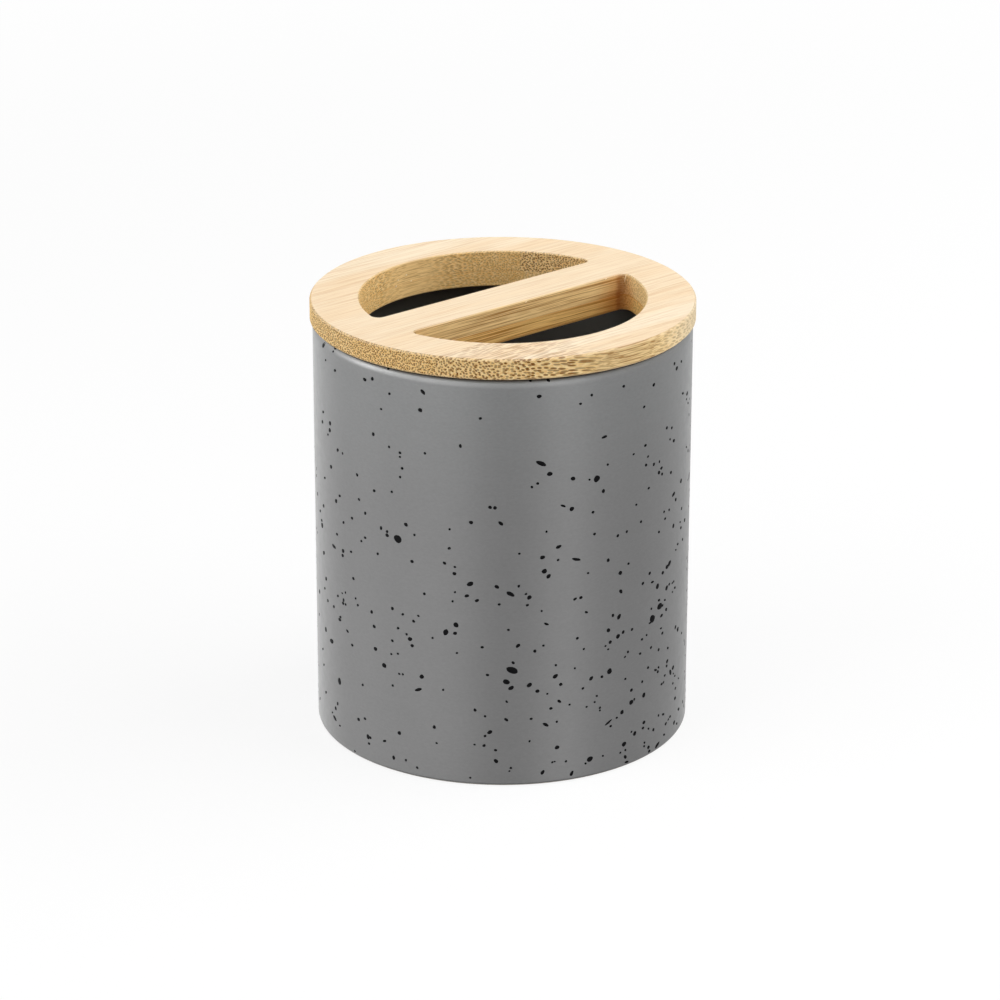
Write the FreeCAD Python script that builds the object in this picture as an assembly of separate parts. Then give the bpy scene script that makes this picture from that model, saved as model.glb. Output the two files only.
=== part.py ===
import FreeCAD, Part
import math
import os

# Toothbrush holder: a glazed ceramic tumbler with a bamboo lid that has two D-shaped slots.
# Millimetres. The foot stands on z = 0, +Z is up, and the lid's bar and its grain run along X.
# The lid is glued up from strips in two plies. The top ply rests on the rim, and the ply below it
# is a plug, with a soft ring in its groove that grips the mouth.

# Tumbler
cup_radius = 40.0
cup_height = 90.3
cup_wall = 4.2
floor_thickness = 4.5
hollow_corner_round = 6.0
rim_outer_round_share = 0.52
rim_inner_round_share = 0.26
base_edge_round = 0.8

# Foot ring under the tumbler
foot_land = 5.0
foot_recess_depth = 1.2
foot_recess_slope = 1.0
foot_inner_round = 0.3
foot_recess_round = 0.6

# Lid
lid_overhang = 0.55
flange_thickness = 4.4
lid_edge_chamfer = 0.35
bar_width = 11.0
slot_land = 3.05
slot_corner_round = 1.5
slot_edge_chamfer = 0.25

# Plug and its groove, from the rim down
plug_shoulder = 0.9
groove_height = 2.0
plug_lip = 0.7
groove_depth = 1.3
plug_edge_chamfer = 0.4

# Bamboo strips: each ply is glued up from one strip for each place across it,
# and the plug's seams lie to one side, clear of the top ply's
plug_seam_shift = 2.5
strip_places = ("front", "front_bar", "back_bar", "back")

# Soft ring, with fins that reach for the mouth
seal_reach = 1.1
seal_mouth_gap = 0.15
seal_groove_gap = 0.05
seal_band_proud = 0.15
fin_count = 2
fin_root_share = 0.6
fin_tip_share = 0.3
fin_rise_share = 0.25

# How far a cutter runs past what it cuts, and how close two edges count as the same
overrun = 5.0
tolerance = 0.001
full_turn = 360.0

# Worked out from the sizes above
mouth_radius = cup_radius - cup_wall
hollow_floor = foot_recess_depth + floor_thickness
lid_radius = cup_radius + lid_overhang
lid_top = cup_height + flange_thickness
plug_radius = mouth_radius - seal_mouth_gap - seal_reach
groove_radius = plug_radius - groove_depth
groove_top = cup_height - plug_shoulder
groove_bottom = groove_top - groove_height
plug_bottom = groove_bottom - plug_lip
slot_radius = groove_radius - slot_land

upright = FreeCAD.Vector(0, 0, 1)
base_centre = FreeCAD.Vector(0, 0, 0)


def rounded(before, corner, after, radius):
    """Start, middle and end of the arc that rounds one corner of an outline."""
    back = (before - corner).normalize()
    ahead = (after - corner).normalize()
    inward = (back + ahead).normalize()
    half_angle = back.getAngle(ahead) / 2
    reach = radius / math.tan(half_angle)
    middle = corner + inward * (radius / math.sin(half_angle) - radius)
    return corner + back * reach, middle, corner + ahead * reach


def turned(profile):
    """Solid turned about the upright axis from corners given as (radius, height, round)."""
    corners = [FreeCAD.Vector(0, radius, height) for radius, height, _ in profile]
    bends = []
    for index, (_, _, corner_round) in enumerate(profile):
        corner = corners[index]
        after = corners[(index + 1) % len(corners)]
        if corner_round:
            bends.append(rounded(corners[index - 1], corner, after, corner_round))
        else:
            bends.append((corner, corner, corner))
    edges = []
    for index, (start, middle, end) in enumerate(bends):
        if start != end:
            edges.append(Part.Arc(start, middle, end).toShape())
        edges.append(Part.LineSegment(end, bends[(index + 1) % len(bends)][0]).toShape())
    return Part.Face(Part.Wire(edges)).revolve(base_centre, upright, full_turn)


def make_tumbler():
    """Straight cup with a rounded rim, a coved hollow and a foot ring."""
    recess_radius = cup_radius - foot_land
    return turned([
        (0, foot_recess_depth, 0),
        (recess_radius - foot_recess_slope, foot_recess_depth, foot_recess_round),
        (recess_radius, 0, foot_inner_round),
        (cup_radius, 0, base_edge_round),
        (cup_radius, cup_height, cup_wall * rim_outer_round_share),
        (mouth_radius, cup_height, cup_wall * rim_inner_round_share),
        (mouth_radius, hollow_floor, hollow_corner_round),
        (0, hollow_floor, 0),
    ])


def runs_upright(edge):
    """Whether an edge sets off straight up or down."""
    return edge.tangentAt(edge.FirstParameter).cross(upright).Length < tolerance


def in_slot(edge, level):
    """Whether an edge lies at one level, on or inside the circle that bounds the slots."""
    places = [vertex.Point for vertex in edge.Vertexes]
    level_edge = all(abs(place.z - level) < tolerance for place in places)
    return level_edge and all(math.hypot(place.x, place.y) < slot_radius + tolerance for place in places)


def make_slot_cutters():
    """The two D-shaped slots, as prisms through both plies with their upright corners rounded."""
    low = plug_bottom - overrun
    depth = lid_top + overrun - low
    disc = Part.makeCylinder(slot_radius, depth, FreeCAD.Vector(0, 0, low))
    beside_bar = FreeCAD.Vector(-slot_radius, bar_width / 2, low)
    prism = disc.common(Part.makeBox(2 * slot_radius, slot_radius, depth, beside_bar))
    corners = [edge for edge in prism.Edges if runs_upright(edge)]
    back_slot = prism.makeFillet(slot_corner_round, corners)
    front_slot = back_slot.rotated(base_centre, upright, full_turn / 2)
    return [back_slot, front_slot]


def cut_slots(ply, level):
    """Cut both slots through a ply and ease their edges at its outer face, at the given level."""
    slotted = ply.cut(make_slot_cutters())
    edges = [edge for edge in slotted.Edges if in_slot(edge, level)]
    return slotted.makeChamfer(slot_edge_chamfer, edges)


def make_top_ply():
    """Upper half of the lid, a disc that overhangs the rim."""
    disc = turned([
        (0, cup_height, 0),
        (lid_radius - lid_edge_chamfer, cup_height, 0),
        (lid_radius, cup_height + lid_edge_chamfer, 0),
        (lid_radius, lid_top - lid_edge_chamfer, 0),
        (lid_radius - lid_edge_chamfer, lid_top, 0),
        (0, lid_top, 0),
    ])
    return cut_slots(disc, lid_top)


def make_plug_ply():
    """Lower half of the lid, a plug with the ring's groove round it."""
    disc = turned([
        (0, plug_bottom, 0),
        (plug_radius - plug_edge_chamfer, plug_bottom, 0),
        (plug_radius, plug_bottom + plug_edge_chamfer, 0),
        (plug_radius, groove_bottom, 0),
        (groove_radius, groove_bottom, 0),
        (groove_radius, groove_top, 0),
        (plug_radius, groove_top, 0),
        (plug_radius, cup_height, 0),
        (0, cup_height, 0),
    ])
    return cut_slots(disc, plug_bottom)


def glued_strips(ply, radius, seam_shift):
    """Part a ply of the given radius along its glue seams, into strips from front to back."""
    reach = radius + overrun
    strip_width = 2 * radius / len(strip_places)
    seams = (-reach, seam_shift - strip_width, seam_shift, seam_shift + strip_width, reach)
    strips = []
    for low, high in zip(seams, seams[1:]):
        slab = Part.makeBox(2 * reach, high - low, lid_top + overrun, FreeCAD.Vector(-reach, low, 0))
        strips.append(ply.common(slab))
    return strips


def make_seal_ring():
    """Ring that sits in the plug's groove, with upswept fins round its outside."""
    inner = groove_radius + seal_groove_gap
    outer = plug_radius + seal_band_proud
    tip = mouth_radius - seal_mouth_gap
    low = groove_bottom + seal_groove_gap
    high = groove_top - seal_groove_gap
    pitch = (high - low) / fin_count
    profile = [(inner, low, 0)]
    for fin in range(fin_count):
        root = low + pitch * fin
        rise = root + pitch * fin_rise_share
        profile.append((outer, root, 0))
        profile.append((tip, rise, 0))
        profile.append((tip, rise + pitch * fin_tip_share, 0))
        profile.append((outer, root + pitch * fin_root_share, 0))
    profile.append((outer, high, 0))
    profile.append((inner, high, 0))
    return turned(profile)


def save(name, shape):
    """Write one piece as its own file."""
    shape.exportStep(os.path.join("parts", name + ".step"))


os.makedirs("parts", exist_ok=True)
save("tumbler", make_tumbler())
save("seal_ring", make_seal_ring())
for place, strip in zip(strip_places, glued_strips(make_top_ply(), lid_radius, 0)):
    save("top_strip_" + place, strip)
for place, strip in zip(strip_places, glued_strips(make_plug_ply(), plug_radius, plug_seam_shift)):
    save("plug_strip_" + place, strip)
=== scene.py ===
"""Toothbrush holder: a speckled ceramic tumbler with a slotted bamboo lid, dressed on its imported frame.

Everything is in metres, in the frame's own axes: the foot stands on z = 0 and the bar runs along X.
"""
import math
import random
from collections import namedtuple
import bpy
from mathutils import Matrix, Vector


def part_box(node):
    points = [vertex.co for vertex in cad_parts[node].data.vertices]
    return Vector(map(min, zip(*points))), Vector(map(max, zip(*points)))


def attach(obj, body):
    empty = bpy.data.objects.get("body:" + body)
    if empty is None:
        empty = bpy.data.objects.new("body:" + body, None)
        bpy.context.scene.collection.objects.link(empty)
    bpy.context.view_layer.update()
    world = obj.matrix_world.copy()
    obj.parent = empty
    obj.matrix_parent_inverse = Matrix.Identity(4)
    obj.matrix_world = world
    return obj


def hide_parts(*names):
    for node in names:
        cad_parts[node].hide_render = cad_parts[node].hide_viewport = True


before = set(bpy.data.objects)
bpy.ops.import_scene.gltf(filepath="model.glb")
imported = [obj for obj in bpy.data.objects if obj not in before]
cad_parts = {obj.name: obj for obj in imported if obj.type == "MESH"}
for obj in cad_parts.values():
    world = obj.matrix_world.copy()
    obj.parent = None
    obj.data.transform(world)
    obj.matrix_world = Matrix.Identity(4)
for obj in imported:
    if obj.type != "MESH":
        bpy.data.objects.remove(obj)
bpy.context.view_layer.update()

from types import SimpleNamespace

import bmesh
import bpy
from bpy.props import FloatProperty, FloatVectorProperty, IntProperty, PointerProperty
from mathutils import Matrix, Vector

bl_info = {
    "name": "Toothbrush Holder",
    "version": (1, 0, 0),
    "blender": (4, 5, 0),
    "location": "3D View > Sidebar > Holder",
    "description": "Dresses a speckled ceramic tumbler and its slotted bamboo lid",
    "category": "Object",
}

MM = 0.001
TINY = MM * MM

_, cup_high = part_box("tumbler")
cup_radius = cup_high.x
cup_height = cup_high.z

# The specks of the side that the camera sees, in millimetres on the unrolled wall:
# place to the right of the wall's middle line, height, length, width, and lean in degrees
seen_specks = (
    (-47.7, 88.7, 1.7, 0.9, 40), (-42.5, 89.6, 0.8, 0.45, 10), (-42.7, 88.9, 0.6, 0.35, 15),
    (-46.3, 85.9, 0.8, 0.4, 15), (-41.7, 85.1, 1.0, 0.6, 15), (-31.2, 86.1, 1.1, 0.65, -10),
    (-29.0, 86.8, 0.8, 0.8, 0), (-28.9, 74.8, 0.85, 0.75, -70), (-48.3, 73.8, 1.2, 0.6, 20),
    (-48.9, 71.4, 1.1, 0.8, 30), (-44.4, 72.6, 1.1, 0.95, 15), (-44.6, 71.0, 1.2, 0.9, 15),
    (-45.6, 69.7, 0.8, 0.5, 20), (-41.0, 67.8, 1.0, 0.7, 15), (-39.0, 67.7, 0.6, 0.5, 0),
    (-33.9, 64.5, 0.75, 0.7, 90), (-44.2, 63.0, 1.15, 0.85, 15), (-28.8, 62.4, 0.75, 0.6, 30),
    (-47.9, 59.2, 1.3, 0.5, 25), (-40.4, 57.8, 0.9, 0.55, 20), (-42.0, 56.1, 1.1, 0.9, 20),
    (-33.4, 59.2, 0.7, 0.6, 0), (-31.5, 56.7, 0.75, 0.65, 40), (-35.8, 54.3, 0.8, 0.6, 30),
    (-27.0, 54.6, 0.8, 0.65, 70), (-49.0, 52.5, 1.3, 0.7, 25), (-39.0, 52.3, 0.8, 0.6, 30),
    (-31.6, 51.2, 0.7, 0.55, 10), (-32.8, 50.1, 0.65, 0.5, 10), (-51.8, 50.3, 1.4, 0.6, 20),
    (-50.6, 48.6, 1.3, 0.6, 20), (-50.3, 47.6, 1.7, 1.1, 15), (-41.8, 48.7, 0.9, 0.6, 20),
    (-28.0, 48.6, 0.65, 0.55, 60), (-43.3, 45.4, 1.75, 0.8, -5), (-36.3, 46.6, 0.8, 0.5, 15),
    (-39.3, 45.8, 1.0, 0.9, 40), (-39.5, 44.7, 0.9, 0.75, 20), (-49.3, 41.7, 1.4, 0.9, 30),
    (-35.6, 40.8, 0.8, 0.65, 20), (-48.0, 36.3, 1.2, 0.9, 30), (-38.6, 36.6, 0.6, 0.45, 45),
    (-39.9, 36.0, 0.6, 0.35, 20), (-34.9, 36.5, 0.6, 0.45, 20), (-34.2, 35.2, 0.7, 0.55, 20),
    (-41.8, 34.7, 0.9, 0.55, 20), (-39.4, 34.6, 0.85, 0.7, 60), (-39.6, 33.8, 0.85, 0.7, 0),
    (-38.6, 33.9, 0.7, 0.55, 20), (-29.9, 35.0, 0.8, 0.7, 30), (-49.0, 33.7, 1.2, 0.5, 25),
    (-47.1, 31.6, 1.1, 0.6, 20), (-43.8, 31.5, 1.1, 0.6, 25), (-40.8, 30.2, 0.9, 0.6, 20),
    (-29.2, 31.9, 0.85, 0.75, 0), (-53.8, 31.0, 1.4, 0.9, 20), (-41.1, 29.5, 1.4, 0.6, 10),
    (-38.0, 28.0, 1.1, 0.5, -10), (-28.9, 26.9, 0.95, 0.9, 0), (-36.3, 25.4, 0.8, 0.65, 10),
    (-48.7, 24.3, 1.3, 1.1, 20), (-45.2, 23.0, 2.1, 1.0, 8), (-32.9, 17.4, 0.65, 0.55, 30),
    (-41.6, 15.1, 1.5, 1.5, 0), (-51.3, 18.7, 1.3, 0.5, 25), (-50.6, 15.3, 1.2, 0.5, 25),
    (-49.3, 9.4, 1.3, 0.6, 25), (-42.6, 9.5, 0.85, 0.75, 40), (-43.6, 8.0, 1.0, 0.85, 0),
    (-45.4, 6.3, 0.8, 0.4, 20), (-44.1, 5.5, 1.8, 0.85, -22), (-41.7, 4.7, 0.8, 0.4, 20),
    (-32.3, 9.8, 0.8, 0.55, 15), (-34.4, 8.9, 0.85, 0.8, 0), (-31.4, 5.9, 1.1, 0.9, 80),
    (-30.7, 5.9, 0.7, 0.6, 0), (-31.1, 4.4, 0.75, 0.5, 0), (-35.8, 1.0, 0.6, 0.35, 0),
    (-25.2, 89.7, 0.6, 0.4, 0), (-24.5, 84.6, 0.6, 0.55, 0), (-16.6, 86.4, 1.4, 0.65, -50),
    (-17.2, 82.4, 0.9, 0.9, 0), (-4.5, 81.9, 0.6, 0.55, 0), (-26.7, 80.8, 0.55, 0.45, 0),
    (-8.6, 75.7, 0.8, 0.55, -70), (-24.7, 73.0, 0.55, 0.5, 0), (-16.2, 73.2, 0.55, 0.5, 0),
    (-22.0, 72.3, 0.6, 0.6, 0), (-22.0, 71.4, 0.5, 0.45, 0), (-21.5, 69.0, 0.6, 0.6, 0),
    (-22.0, 67.0, 0.55, 0.5, 0), (-24.1, 63.3, 0.55, 0.5, 0), (-2.5, 62.7, 0.85, 0.6, -30),
    (-1.5, 62.6, 0.8, 0.65, 60), (-6.4, 59.2, 0.9, 0.7, -25), (-0.3, 59.2, 1.1, 0.7, -38),
    (-10.9, 57.3, 0.5, 0.45, 0), (-20.7, 56.8, 0.95, 0.75, -40), (-18.7, 54.9, 0.55, 0.5, 0),
    (-25.4, 54.2, 0.65, 0.65, 0), (-25.4, 53.4, 0.95, 0.7, 0), (-22.7, 53.2, 1.85, 1.85, 0),
    (-11.0, 53.1, 0.75, 0.5, 40), (-12.0, 49.7, 0.75, 0.6, -45), (-9.8, 49.1, 0.5, 0.45, 0),
    (-19.3, 48.9, 0.75, 0.7, 0), (-9.9, 47.6, 0.8, 0.7, -30), (-6.6, 45.6, 1.5, 0.9, 20),
    (-1.1, 45.2, 0.95, 0.75, -40), (-9.8, 43.5, 0.5, 0.4, 40), (-7.3, 42.9, 0.95, 0.65, 25),
    (-5.2, 42.0, 0.85, 0.65, 25), (-10.3, 41.4, 0.45, 0.45, 0), (-16.5, 42.2, 0.6, 0.55, 0),
    (-0.6, 41.3, 0.55, 0.5, 0), (-24.2, 37.3, 0.75, 0.7, 0), (-21.6, 36.6, 0.65, 0.5, 30),
    (-17.9, 37.0, 0.5, 0.45, 0), (-19.0, 35.6, 0.65, 0.6, 0), (-9.6, 36.2, 1.2, 1.0, -20),
    (-11.8, 34.3, 1.5, 1.0, 60), (-9.8, 34.3, 0.9, 0.65, 35), (-22.8, 33.2, 0.7, 0.5, 35),
    (-20.7, 32.3, 0.55, 0.5, 0), (-19.9, 31.4, 1.0, 0.9, 0), (-14.7, 32.6, 0.5, 0.45, 0),
    (-4.1, 31.6, 0.6, 0.55, 0), (-24.3, 30.0, 0.65, 0.55, 0), (-19.4, 30.0, 0.85, 0.65, 0),
    (-9.4, 29.9, 0.5, 0.4, 0), (-22.9, 27.4, 0.55, 0.45, 0), (-24.6, 26.9, 0.5, 0.45, 0),
    (-3.0, 25.4, 0.65, 0.55, -20), (-26.5, 23.8, 1.15, 1.05, -40), (-17.2, 23.4, 1.0, 0.95, 0),
    (-22.6, 22.9, 0.5, 0.45, 0), (-21.7, 23.0, 0.5, 0.45, 0), (-12.4, 21.2, 0.5, 0.45, 90),
    (-24.3, 19.8, 0.6, 0.5, 20), (-18.0, 20.3, 1.85, 0.6, 22), (-5.6, 17.3, 0.7, 0.6, -45),
    (-3.5, 16.0, 0.5, 0.45, 0), (-14.4, 12.4, 0.85, 0.65, -60), (-2.5, 12.4, 1.15, 0.75, 25),
    (-3.5, 11.5, 0.6, 0.5, 80), (-22.7, 9.3, 0.9, 0.8, 90), (-13.9, 8.8, 0.5, 0.4, 0),
    (-5.7, 9.4, 0.45, 0.4, 0), (-3.7, 9.3, 0.75, 0.5, 30), (-1.3, 8.3, 0.6, 0.55, 0),
    (-1.2, 5.8, 1.0, 0.8, -50), (-26.6, 6.4, 0.95, 0.5, 20), (-24.2, 3.2, 0.95, 0.7, 80),
    (-21.1, 3.4, 0.55, 0.5, 0), (-18.4, 2.3, 0.6, 0.5, 0), (-6.6, 1.7, 0.45, 0.4, 0),
    (7.4, 86.5, 0.95, 0.8, 0), (9.4, 89.6, 0.75, 0.4, -30), (5.7, 89.7, 0.5, 0.3, 0),
    (18.7, 85.5, 0.6, 0.55, 0), (16.2, 84.0, 0.6, 0.5, 0), (26.5, 85.9, 0.65, 0.6, 0),
    (21.8, 75.9, 1.3, 0.55, 12), (7.9, 72.0, 2.2, 0.95, -25), (9.7, 69.6, 1.1, 0.95, 5),
    (7.2, 67.7, 0.6, 0.5, 20), (6.0, 67.0, 0.5, 0.5, 0), (14.7, 68.0, 1.0, 0.85, 0),
    (18.4, 67.2, 0.5, 0.4, -10), (20.1, 67.1, 1.5, 1.4, 90), (22.7, 69.7, 0.55, 0.45, 0),
    (21.7, 64.1, 0.9, 0.7, 70), (12.6, 62.3, 1.15, 0.45, -22), (14.5, 61.4, 0.95, 0.95, 0),
    (19.3, 59.9, 0.6, 0.6, 0), (9.1, 57.0, 0.45, 0.45, 0), (19.7, 55.0, 0.7, 0.5, 15),
    (11.7, 53.4, 1.3, 0.65, 27), (3.5, 52.5, 0.55, 0.4, -10), (25.5, 53.4, 0.65, 0.65, 0),
    (8.3, 51.4, 1.0, 0.85, 0), (11.6, 50.5, 0.5, 0.5, 0), (15.6, 50.1, 2.0, 0.6, -15),
    (23.1, 48.5, 0.85, 0.65, 90), (8.7, 48.3, 1.1, 1.0, 0), (9.6, 47.1, 1.05, 0.8, 38),
    (18.3, 46.6, 0.5, 0.45, 0), (3.4, 45.3, 0.6, 0.5, 50), (26.3, 44.9, 0.95, 0.9, 20),
    (1.7, 43.6, 1.75, 0.9, -27), (4.9, 43.5, 0.5, 0.45, 20), (5.6, 42.7, 1.0, 0.85, 30),
    (5.2, 41.0, 0.6, 0.5, 20), (15.4, 41.3, 0.8, 0.55, 22), (16.7, 41.4, 0.75, 0.6, 28),
    (26.5, 40.7, 1.05, 0.75, -58), (8.2, 39.5, 0.45, 0.4, 0), (18.0, 37.9, 0.8, 0.45, -30),
    (9.2, 36.5, 1.1, 0.45, -22), (1.3, 35.6, 0.5, 0.5, 60), (24.5, 35.8, 0.7, 0.65, 60),
    (26.1, 35.1, 1.2, 0.9, 58), (23.4, 32.7, 0.9, 0.85, 0), (3.3, 32.0, 1.0, 0.7, 42),
    (16.0, 32.4, 0.6, 0.55, 60), (8.6, 31.7, 0.5, 0.45, -40), (6.8, 30.6, 0.65, 0.65, 0),
    (25.9, 30.7, 1.0, 0.95, 0), (23.9, 29.9, 0.85, 0.7, 0), (2.3, 28.2, 0.7, 0.55, -30),
    (2.1, 26.5, 2.6, 1.45, -28), (0.9, 23.9, 1.6, 1.0, -20), (1.9, 22.5, 1.2, 0.85, 30),
    (5.7, 23.0, 1.15, 0.9, 35), (7.4, 21.5, 0.85, 0.75, 25), (11.2, 24.5, 1.35, 0.75, 33),
    (12.4, 22.5, 0.8, 0.65, 30), (11.3, 27.0, 0.5, 0.5, 0), (15.5, 25.7, 0.45, 0.4, 0),
    (17.5, 29.7, 0.45, 0.45, 30), (9.5, 20.7, 0.4, 0.4, 0), (17.4, 20.8, 0.6, 0.5, 45),
    (19.3, 22.7, 1.15, 0.7, 33), (21.9, 22.5, 0.65, 0.6, 0), (23.8, 23.3, 1.3, 1.2, 20),
    (22.7, 29.3, 0.45, 0.4, 0), (23.4, 28.4, 0.45, 0.4, 0), (1.0, 19.4, 0.6, 0.45, -50),
    (0.9, 15.3, 0.9, 0.6, -45), (12.1, 18.7, 1.05, 0.5, -37), (10.3, 17.3, 0.7, 0.6, 0),
    (14.4, 17.6, 0.5, 0.4, -10), (6.1, 15.3, 0.6, 0.5, 0), (9.2, 13.7, 1.4, 0.65, -37),
    (11.6, 14.1, 0.5, 0.45, 0), (18.3, 16.4, 0.45, 0.4, 0), (20.2, 17.1, 0.45, 0.4, 0),
    (20.7, 18.4, 0.5, 0.45, 0), (21.5, 15.5, 0.5, 0.5, 0), (21.5, 14.9, 0.45, 0.4, 0),
    (23.7, 11.6, 1.9, 0.5, 28), (24.3, 10.6, 0.6, 0.55, 0), (25.9, 12.1, 0.55, 0.45, 0),
    (27.3, 13.0, 1.0, 0.9, 20), (5.8, 10.2, 0.5, 0.4, 80), (11.7, 8.2, 0.95, 0.9, 0),
    (10.7, 4.9, 0.5, 0.4, 20), (11.2, 5.0, 0.4, 0.3, 0), (13.7, 4.7, 0.5, 0.5, 0),
    (1.9, 4.2, 0.5, 0.5, 0), (1.6, 3.5, 0.4, 0.35, 0), (8.6, 2.8, 1.05, 0.75, 60),
    (19.2, 4.2, 1.35, 1.25, 20), (18.2, 3.4, 0.5, 0.45, 0), (22.4, 4.2, 0.5, 0.4, -10),
    (15.0, 1.7, 1.3, 0.65, 57), (35.4, 84.0, 0.85, 0.7, 0), (43.5, 86.2, 0.85, 0.7, -10),
    (44.7, 84.8, 1.1, 0.9, -10), (47.2, 85.5, 1.0, 0.5, -20), (32.4, 80.0, 0.7, 0.55, 0),
    (48.6, 78.0, 1.3, 0.5, -20), (52.0, 76.8, 1.5, 0.9, -10), (51.5, 75.7, 0.9, 0.4, -15),
    (40.6, 73.0, 0.9, 0.6, -10), (42.8, 72.3, 0.85, 0.55, -15), (33.0, 71.4, 0.75, 0.6, -5),
    (29.5, 70.4, 0.55, 0.45, 0), (42.1, 70.0, 0.8, 0.4, -20), (43.9, 69.1, 1.05, 0.75, -10),
    (33.9, 68.7, 0.55, 0.5, 0), (33.3, 67.0, 0.75, 0.6, 0), (35.9, 66.4, 0.8, 0.7, 0),
    (37.9, 66.4, 0.55, 0.55, 0), (38.7, 64.7, 0.9, 0.65, -5), (37.8, 64.0, 0.9, 0.8, 0),
    (39.0, 63.3, 0.8, 0.6, -15), (34.3, 61.6, 0.7, 0.55, -10), (42.8, 62.4, 0.95, 0.65, -10),
    (52.4, 64.7, 1.2, 0.4, -25), (53.1, 74.3, 1.2, 0.5, -20), (30.5, 59.0, 0.55, 0.45, 0),
    (48.5, 58.5, 1.3, 0.9, -5), (44.3, 57.0, 1.5, 0.85, 15), (45.5, 55.4, 1.0, 0.75, -10),
    (32.0, 54.8, 0.65, 0.55, 0), (27.9, 53.7, 0.6, 0.55, 0), (40.1, 54.5, 0.7, 0.5, -15),
    (42.3, 54.2, 0.75, 0.5, -15), (40.6, 52.8, 0.8, 0.5, -12), (38.2, 50.6, 0.8, 0.5, -18),
    (44.5, 49.8, 1.1, 0.9, -15), (49.3, 52.0, 0.9, 0.65, -10), (48.5, 49.2, 0.9, 0.4, -15),
    (49.1, 47.7, 1.1, 0.65, -15), (52.1, 48.3, 1.4, 0.8, -10), (28.5, 46.4, 0.6, 0.5, 0),
    (47.2, 44.7, 1.0, 0.55, -15), (50.5, 44.5, 0.85, 0.6, -20), (46.1, 43.8, 0.8, 0.4, -20),
    (35.1, 42.3, 0.8, 0.65, 0), (32.9, 40.7, 0.75, 0.7, 0), (36.1, 40.0, 1.05, 0.5, 0),
    (40.0, 40.8, 0.9, 0.8, -10), (41.8, 41.5, 1.2, 0.95, 0), (42.9, 41.9, 1.55, 1.05, 18),
    (38.0, 38.4, 1.2, 1.15, 20), (41.8, 36.7, 1.3, 0.95, 18), (43.0, 37.1, 0.8, 0.55, -10),
    (44.6, 36.8, 0.8, 0.4, 5), (45.3, 36.9, 0.7, 0.4, -30), (46.0, 35.2, 1.1, 0.45, -20),
    (44.7, 34.7, 0.6, 0.4, -20), (38.7, 35.0, 0.9, 0.55, -15), (41.1, 34.2, 0.8, 0.45, -20),
    (39.0, 33.5, 2.1, 1.35, 0), (40.1, 33.3, 0.9, 0.5, -20), (35.9, 34.0, 0.55, 0.5, 0),
    (36.3, 31.6, 1.85, 1.75, 90), (35.5, 30.9, 0.9, 0.4, 0), (41.8, 31.8, 0.9, 0.75, -30),
    (39.8, 31.1, 1.15, 0.6, 5), (29.8, 31.2, 0.7, 0.6, 0), (27.3, 31.3, 0.75, 0.75, 0),
    (32.9, 28.0, 0.7, 0.55, -10), (34.4, 28.5, 0.65, 0.4, -15), (39.7, 28.2, 0.8, 0.4, -18),
    (40.3, 26.9, 0.8, 0.65, 0), (28.7, 26.4, 0.6, 0.55, 0), (27.9, 25.5, 0.5, 0.4, -10),
    (32.4, 24.9, 0.75, 0.5, 0), (36.0, 25.1, 0.75, 0.55, 0), (46.8, 25.8, 1.0, 0.8, 0),
    (48.3, 24.7, 1.3, 1.0, 0), (51.3, 22.6, 0.9, 0.5, -20), (38.9, 23.6, 0.75, 0.65, -30),
    (42.9, 22.5, 0.9, 0.5, -20), (35.1, 20.8, 0.7, 0.6, 0), (28.1, 20.4, 0.55, 0.5, 0),
    (37.8, 19.3, 1.1, 0.5, -25), (39.0, 19.5, 0.7, 0.5, -20), (42.7, 19.5, 1.0, 0.85, 0),
    (38.7, 18.6, 0.8, 0.65, 0), (42.5, 18.5, 0.85, 0.65, -15), (33.2, 18.2, 0.65, 0.55, 0),
    (29.9, 17.3, 0.85, 0.65, 0), (45.8, 16.8, 1.15, 0.95, -15), (44.4, 16.3, 1.5, 0.95, -55),
    (41.7, 16.6, 0.8, 0.5, -15), (40.4, 15.1, 0.9, 0.55, -15), (41.2, 15.2, 0.55, 0.5, 0),
    (29.9, 14.5, 1.15, 1.1, 0), (30.8, 14.9, 0.55, 0.55, 0), (33.8, 14.9, 1.1, 1.05, 0),
    (46.1, 15.3, 0.7, 0.35, -20), (47.0, 14.4, 0.9, 0.4, -20), (45.9, 13.1, 0.9, 0.45, -15),
    (49.5, 12.8, 0.8, 0.4, -25), (47.5, 11.3, 1.0, 0.6, -15), (47.4, 9.0, 1.2, 0.75, -10),
    (34.0, 8.5, 0.9, 0.8, 0), (39.3, 8.2, 0.7, 0.5, -25), (41.3, 7.7, 1.0, 0.55, -20),
    (30.1, 7.6, 0.5, 0.45, 0), (31.1, 6.9, 1.05, 0.9, 30), (33.7, 7.3, 0.75, 0.6, -10),
    (35.6, 6.5, 0.65, 0.45, -15), (37.4, 5.6, 0.8, 0.7, -30), (44.7, 5.8, 1.0, 0.5, -10),
    (43.8, 5.5, 0.7, 0.45, 10), (42.6, 5.0, 0.95, 0.7, 0), (28.0, 5.4, 1.15, 1.1, 0),
    (50.1, 5.3, 1.5, 0.7, -15), (28.4, 3.9, 0.55, 0.5, -20), (34.3, 3.7, 0.65, 0.45, -20),
    (34.2, 2.9, 0.6, 0.5, -15), (47.1, 3.4, 1.2, 0.85, 0), (28.4, 2.3, 0.95, 0.7, -60),
    (41.9, 2.7, 0.9, 0.5, -20), (35.7, 2.1, 0.95, 0.7, -5), (36.0, 1.1, 0.9, 0.6, -5),
    (39.0, 1.4, 2.0, 0.75, 24), (28.8, 1.0, 1.1, 0.5, -10), (48.9, 2.4, 1.0, 0.5, -15),
    (27.0, 3.7, 0.5, 0.45, 0),
)

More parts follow.
